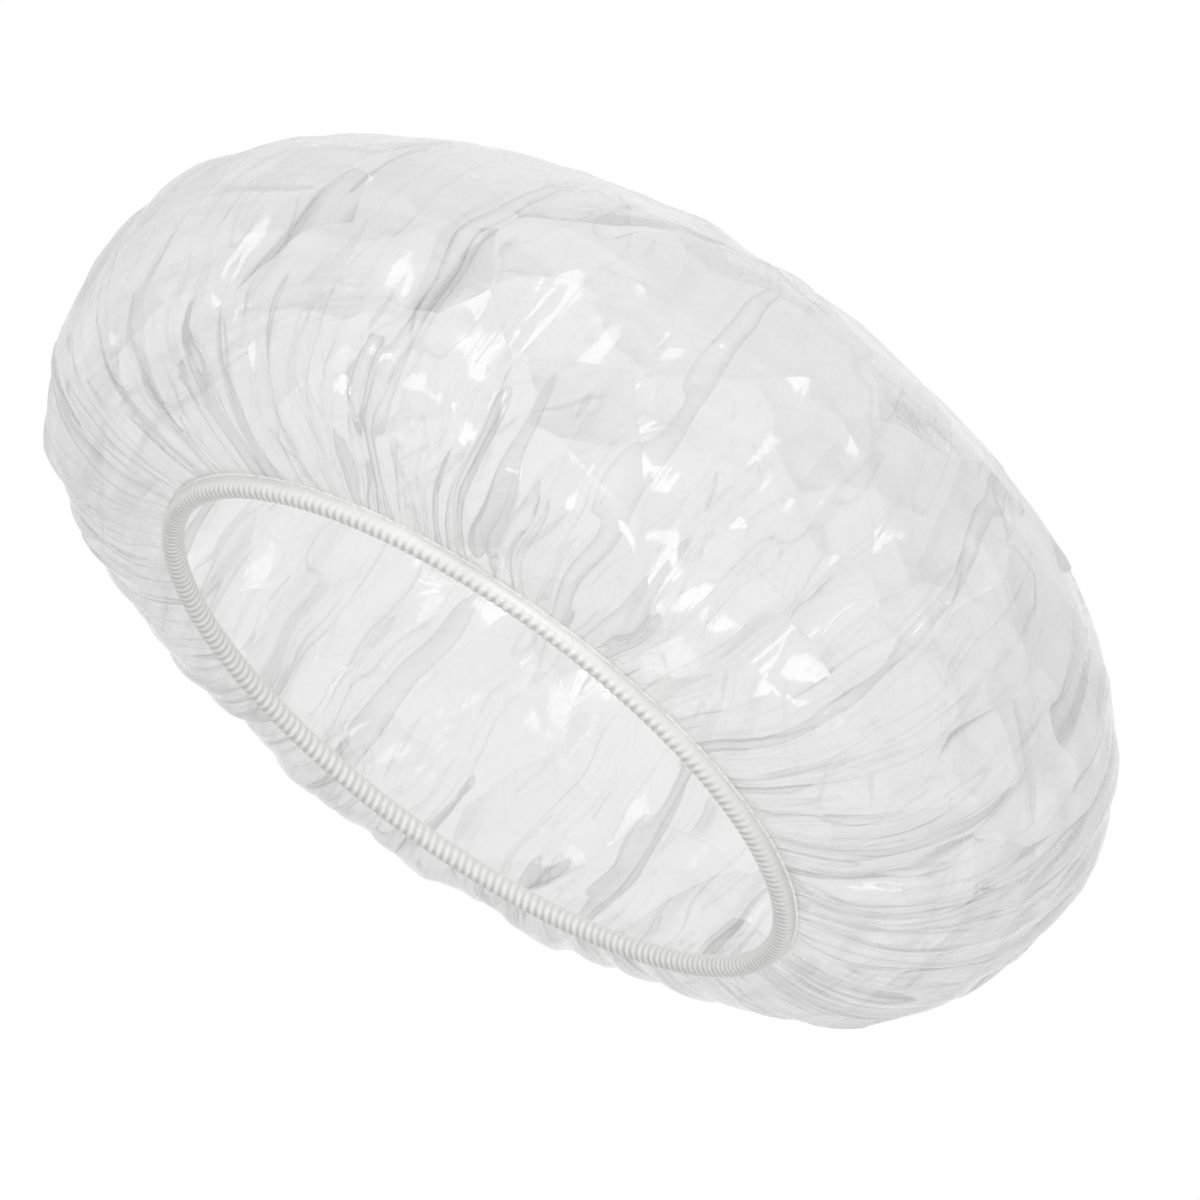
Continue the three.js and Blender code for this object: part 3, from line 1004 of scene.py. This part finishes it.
finish, tree, output = new_finish("gathered_polyethylene_film")
place = add_node(tree, COORDINATES).outputs["Object"]
level = add_node(tree, VECTOR_MATH, {0: place, 1: (1, 1, 0)}, operation="MULTIPLY")
level = add_node(tree, VECTOR_MATH, {0: level.outputs[0]}, operation="LENGTH").outputs["Value"]
beyond = add_node(tree, MATH, {0: level, 1: RIM_DIAMETER / 2}, operation="SUBTRACT").outputs[0]
upright = add_node(tree, "ShaderNodeSeparateXYZ", {"Vector": place}).outputs["Z"]
upright = add_node(tree, MATH, {0: upright, 1: HEM_RADIUS}, operation="SUBTRACT").outputs[0]
tube = add_node(tree, COMBINE, {"X": beyond, "Y": upright})
tube = add_node(tree, VECTOR_MATH, {0: tube.outputs[0]}, operation="LENGTH").outputs["Value"]
crest = add_node(
    tree,
    MAP_RANGE,
    {"Value": tube, "From Min": GROOVE, "From Max": HEM_RADIUS},
    interpolation_type="SMOOTHSTEP",
)
# Painted light: 0 at the bottom of the tube and 1 at the top, so the upper side is painted lighter and the
# lower side darker.
painted_top_light = add_node(tree, MAP_RANGE, {"Value": upright, "From Min": -HEM_RADIUS, "From Max": HEM_RADIUS})
print("groove and crest, mm from the tube's middle:", round(GROOVE / MM, 2), round(HEM_RADIUS / MM, 2))

# %% Hem finish
HEM_CREASE_SIZE = 0.8 * MM
HEM_CREASE_RELIEF = 0.10 * MM

# The grooves' colour is painted shade, painted lighter towards the top as painted light.
groove_painted_shade = add_node(
    tree,
    MIX,
    {"Factor": painted_top_light.outputs[0], FIRST_COLOUR: linear("#b4b3b0"), SECOND_COLOUR: linear("#f4f4f2")},
    data_type="RGBA",
)
# The crests' white, painted lighter towards the top and darker towards the bottom, as painted light and shade.
pale = add_node(
    tree,
    MIX,
    {"Factor": painted_top_light.outputs[0], FIRST_COLOUR: linear("#e4e4e2"), SECOND_COLOUR: linear("#fbfbf9")},
    data_type="RGBA",
)
# Groove and crest mixed, so the painted groove shade shows at the bottom of each groove.
white = add_node(
    tree,
    MIX,
    {
        "Factor": crest.outputs[0],
        FIRST_COLOUR: groove_painted_shade.outputs[MIXED_COLOUR],
        SECOND_COLOUR: pale.outputs[MIXED_COLOUR],
    },
    data_type="RGBA",
)
fine = add_node(tree, NOISE, {"Vector": place, "Scale": 1 / HEM_CREASE_SIZE, "Detail": 3.0})
creased = add_node(tree, BUMP, {"Height": fine.outputs["Fac"], "Distance": HEM_CREASE_RELIEF})
waxy = add_node(
    tree,
    PRINCIPLED,
    {
        "Base Color": white.outputs[MIXED_COLOUR],
        "Roughness": 0.34,
        "IOR": FILM_IOR,
        "Normal": creased.outputs[0],
    },
)
tree.links.new(waxy.outputs[0], output.inputs["Surface"])
hem.data.materials.append(finish)
print("hem finish:", finish.name)

# %% [markdown]
# ## Heat-sealed film
# The sealed lip is two layers of film melted into one, so it is partly clear and partly white. The seal took
# better in some places than in others, so the white comes and goes along the lip.

# %% Lip finish
SEAL_PATCH = 2.5 * MM
SEAL_NOISE = (0.35, 0.6)
SEAL_WHITE = (0.25, 0.65)

finish, tree, output = new_finish("heat_sealed_film")
place = add_node(tree, COORDINATES).outputs["Object"]
patches = add_node(tree, NOISE, {"Vector": place, "Scale": 1 / SEAL_PATCH, "Detail": 2.0})
whitened = add_node(
    tree,
    MAP_RANGE,
    {
        "Value": patches.outputs["Fac"],
        "From Min": SEAL_NOISE[0],
        "From Max": SEAL_NOISE[1],
        "To Min": SEAL_WHITE[0],
        "To Max": SEAL_WHITE[1],
    },
)
sealed = add_node(tree, PRINCIPLED, {"Base Color": linear("#fafafa"), "Roughness": 0.22, "IOR": FILM_IOR})
clear = add_node(tree, TRANSPARENT, {"Color": linear("#fefefe")})
lip_mix = add_node(tree, MIX_SHADER, {0: whitened.outputs[0], 1: clear.outputs[0], 2: sealed.outputs[0]})
tree.links.new(lip_mix.outputs[0], output.inputs["Surface"])
lip.data.materials.append(finish)
print("white of the seal:", SEAL_WHITE)

# %% [markdown]
# ## Natural rubber
# The elastic is hidden in the hem. It is natural rubber, the colour of cream, with darker clouds and a dull
# fine-grained skin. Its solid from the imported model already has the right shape, so it only gets the finish.

# %% Elastic finish
RUBBER_CLOUD = 6 * MM
RUBBER_GRAIN = 0.3 * MM
RUBBER_RELIEF = 0.02 * MM
RUBBER_IOR = 1.52

finish, tree, output = new_finish("natural_rubber")
place = add_node(tree, COORDINATES).outputs["Object"]
cloud = add_node(tree, NOISE, {"Vector": place, "Scale": 1 / RUBBER_CLOUD, "Detail": 2.0})
cream = add_node(
    tree,
    MIX,
    {"Factor": cloud.outputs["Fac"], FIRST_COLOUR: linear("#d8cba9"), SECOND_COLOUR: linear("#eee5d0")},
    data_type="RGBA",
)
grain = add_node(tree, NOISE, {"Vector": place, "Scale": 1 / RUBBER_GRAIN, "Detail": 2.0})
skin = add_node(tree, BUMP, {"Height": grain.outputs["Fac"], "Distance": RUBBER_RELIEF})
rubber = add_node(
    tree,
    PRINCIPLED,
    {
        "Base Color": cream.outputs[MIXED_COLOUR],
        "Roughness": 0.6,
        "IOR": RUBBER_IOR,
        "Normal": skin.outputs[0],
    },
)
tree.links.new(rubber.outputs[0], output.inputs["Surface"])
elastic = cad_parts["elastic_ring"]
elastic.data.materials.clear()
elastic.data.materials.append(finish)
print("finishes:", [m.name for m in bpy.data.materials])

# %% [markdown]
# ## What each piece is
# Every piece rides on the one body, and the solid of the model that it stands for is hidden.

for piece, node, slot in (
    (film, "film_dome", "clear_film"),
    (hem, "gathered_hem", "gathered_film"),
    (lip, "sealed_lip", "sealed_film"),
):
    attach(piece, "root")
    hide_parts(node)
